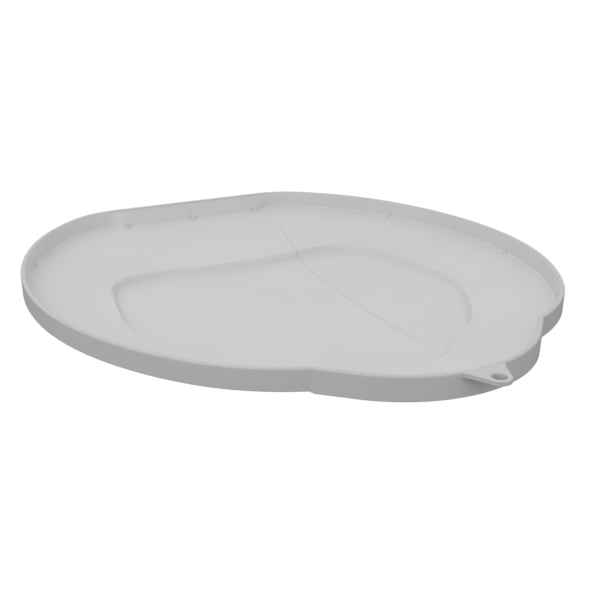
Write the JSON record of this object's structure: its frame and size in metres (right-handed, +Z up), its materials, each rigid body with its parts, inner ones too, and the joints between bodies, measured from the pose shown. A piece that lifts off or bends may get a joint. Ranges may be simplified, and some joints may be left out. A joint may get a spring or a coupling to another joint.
{
  "type": "pail lid",
  "caption": "Shallow moulded lid for a spouted pail, shown inner side up: upstanding rim, dished deck, recessed centre panel, pointed spout and a hanging tab with a hole.",
  "frame": {"origin": "on the resting surface under the recess floor, below the centre of the bounding box", "axes": "+Y from the spout and hanging tab to the straight back edge, +X to the right of the lid seen with its inner side up and the back edge away from the viewer, +Z up out of the rim"},
  "size_m": [0.3334, 0.394, 0.0295],
  "materials": {
    "lid_plastic": "satin off-white injection-moulded polypropylene"
  },
  "bodies": {
    "root": {"rim_back": "lid_plastic", "rim_right": "lid_plastic", "rim_left": "lid_plastic", "rim_spout": "lid_plastic", "deck_back": "lid_plastic", "deck_right": "lid_plastic", "deck_left": "lid_plastic", "deck_spout": "lid_plastic", "recess_border": "lid_plastic", "recess_wall": "lid_plastic", "recess_floor": "lid_plastic", "hanging_tab": "lid_plastic", "back_ledge": "lid_plastic", "nub_back_left": "lid_plastic", "nub_back_centre": "lid_plastic", "nub_back_right": "lid_plastic", "nub_corner_left": "lid_plastic", "nub_corner_right": "lid_plastic", "nub_side_left": "lid_plastic", "nub_side_right": "lid_plastic"}
  },
  "joints": []
}
